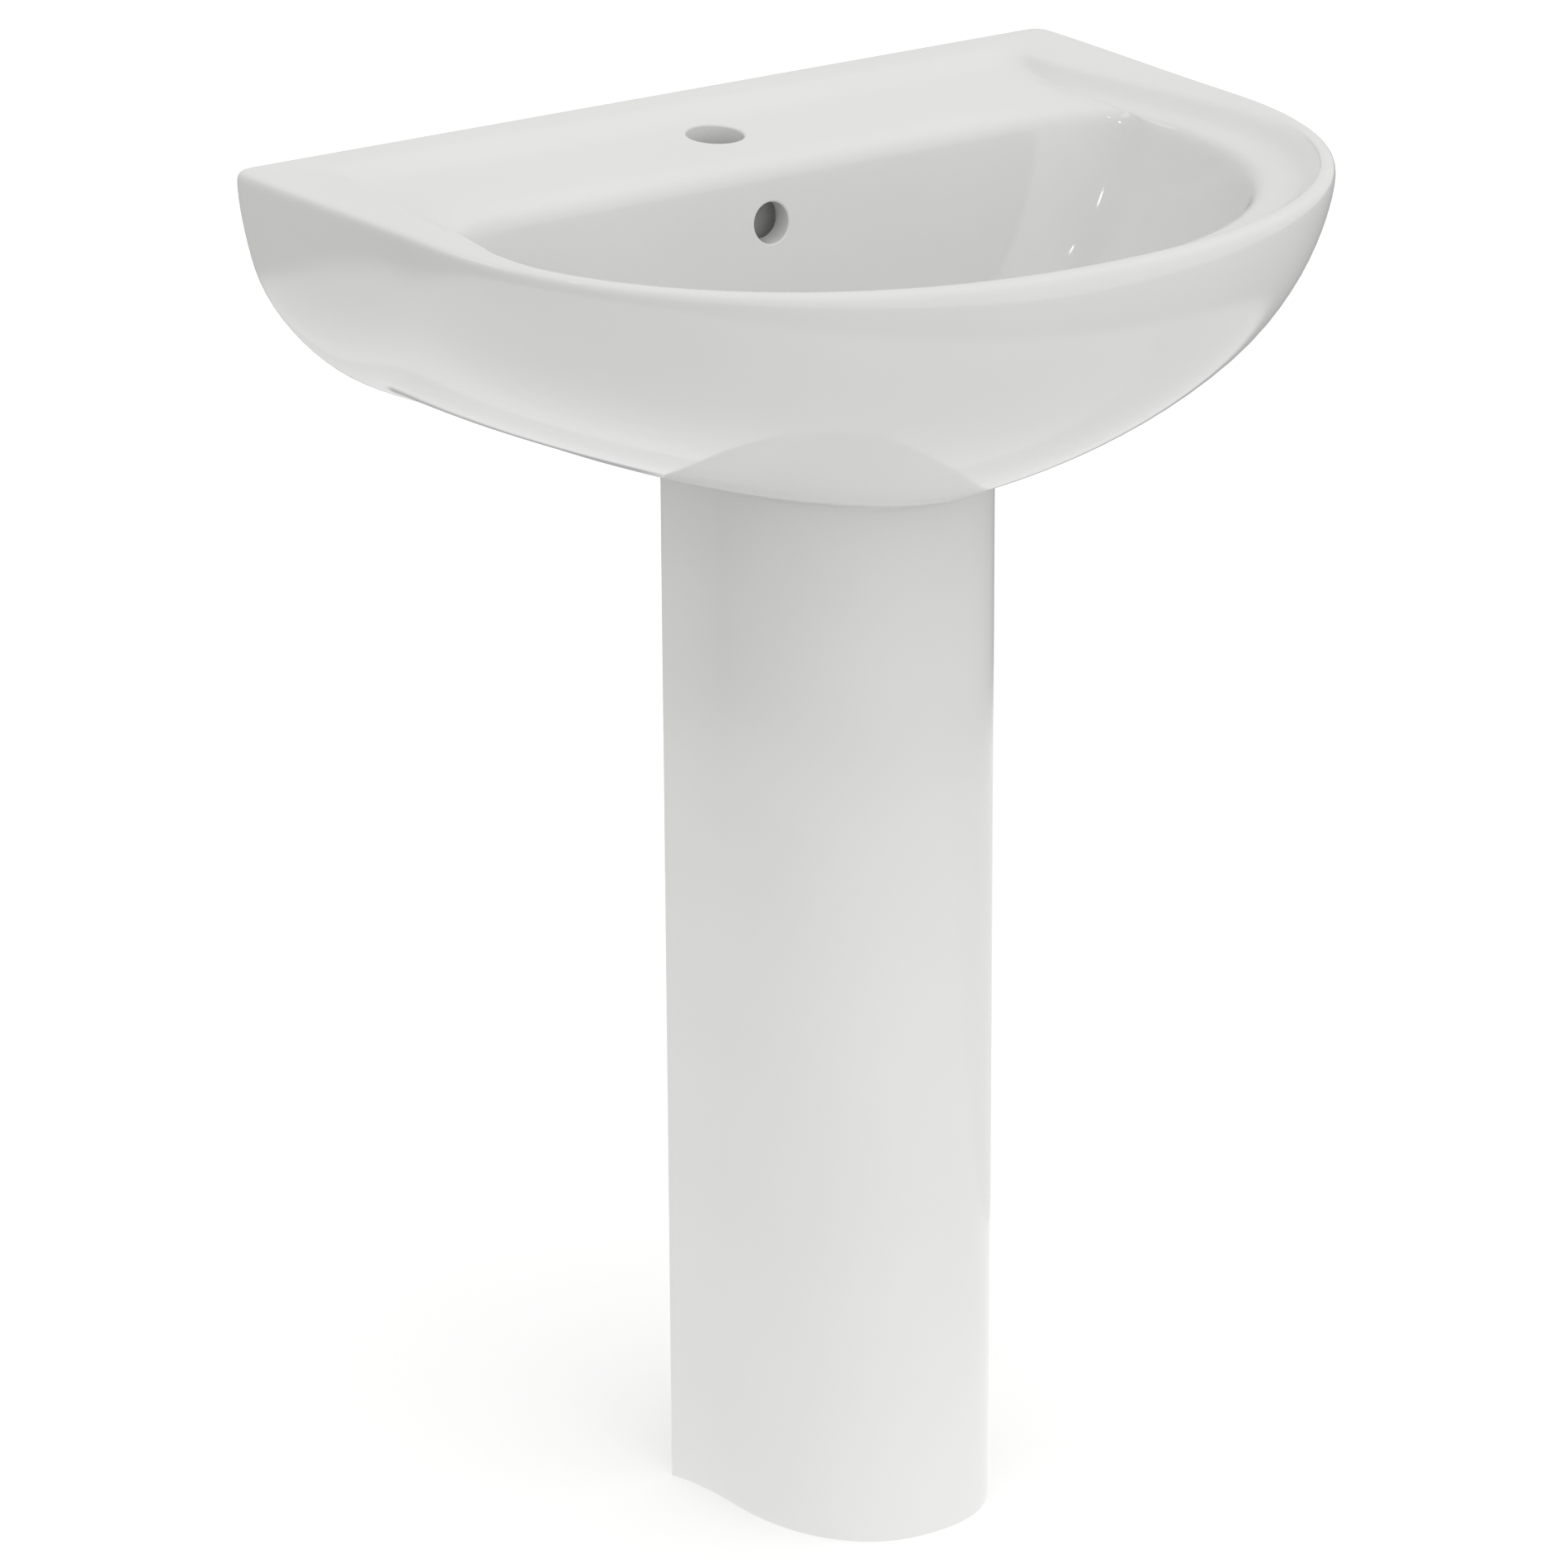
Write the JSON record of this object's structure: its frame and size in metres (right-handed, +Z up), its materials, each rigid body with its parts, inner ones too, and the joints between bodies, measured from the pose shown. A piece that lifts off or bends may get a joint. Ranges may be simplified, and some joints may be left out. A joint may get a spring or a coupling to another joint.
{
  "type": "pedestal sink",
  "caption": "White ceramic pedestal sink: D-shaped wall-bolted basin with tap hole, overflow and click plug, on a hollow pedestal hiding waste and bottle trap.",
  "frame": {"origin": "on the floor under the middle of the overall footprint, which runs from the front of the basin to the ends of the wall bolts; the wall plane is at y = +0.2044 m", "axes": "+Z up, +Y towards the wall, X along the wall with the sink symmetric about X = 0"},
  "size_m": [0.5994, 0.5285, 0.85],
  "materials": {
    "basin_glaze": "glossy white vitreous china glaze",
    "pedestal_glaze": "glossy white vitreous china glaze",
    "zinc_steel": "zinc plated steel",
    "nylon": "natural nylon",
    "chrome": "polished chrome plate",
    "brass": "turned brass",
    "rubber": "black rubber",
    "white_plastic": "moulded white polypropylene",
    "spring_steel": "drawn spring steel"
  },
  "bodies": {
    "root": {"basin": "basin_glaze", "pedestal": "pedestal_glaze", "wall_studs": "zinc_steel", "wall_sleeves": "nylon", "wall_washers": "zinc_steel", "wall_nuts": "zinc_steel", "waste_body": "chrome", "waste_top_seal": "rubber", "waste_taper_seal": "rubber", "waste_slip_washer": "nylon", "waste_back_nut": "brass", "plug_guide": "brass", "plug_spring": "spring_steel", "trap_inlet_nut": "white_plastic", "trap_inlet_washer": "rubber", "trap_dip_tube": "white_plastic", "trap_neck_nut": "white_plastic", "trap_neck_washer": "rubber", "trap_head": "white_plastic", "trap_outlet_nut": "white_plastic", "trap_outlet_washer": "rubber", "trap_outlet_pipe": "white_plastic"},
    "plug": {"plug_cap": "chrome", "plug_stem": "brass", "plug_seal": "rubber"},
    "trap_cup_carrier": {"trap_cup_seal": "rubber"},
    "trap_cup": {"trap_cup": "white_plastic"}
  },
  "joints": [
    {"name": "plug_travel", "type": "slide", "parent": "root", "child": "plug", "axis": [0, 0, 1], "range_m": [0, 0.008], "deforming": ["plug_spring"]},
    {"name": "trap_cup_drop", "type": "slide", "parent": "root", "child": "trap_cup_carrier", "axis": [0, 0, -1], "range_m": [0, 0.0121]},
    {"name": "trap_cup_turn", "type": "hinge", "parent": "trap_cup_carrier", "child": "trap_cup", "pos_m": [0, -0.0206, 0.5175], "axis": [0, 0, -1], "range_deg": [0, 1080]}
  ],
  "couplings": [
    {"joint": "trap_cup_drop", "follows": "trap_cup_turn", "m_per_rad": 0.00063662}
  ]
}
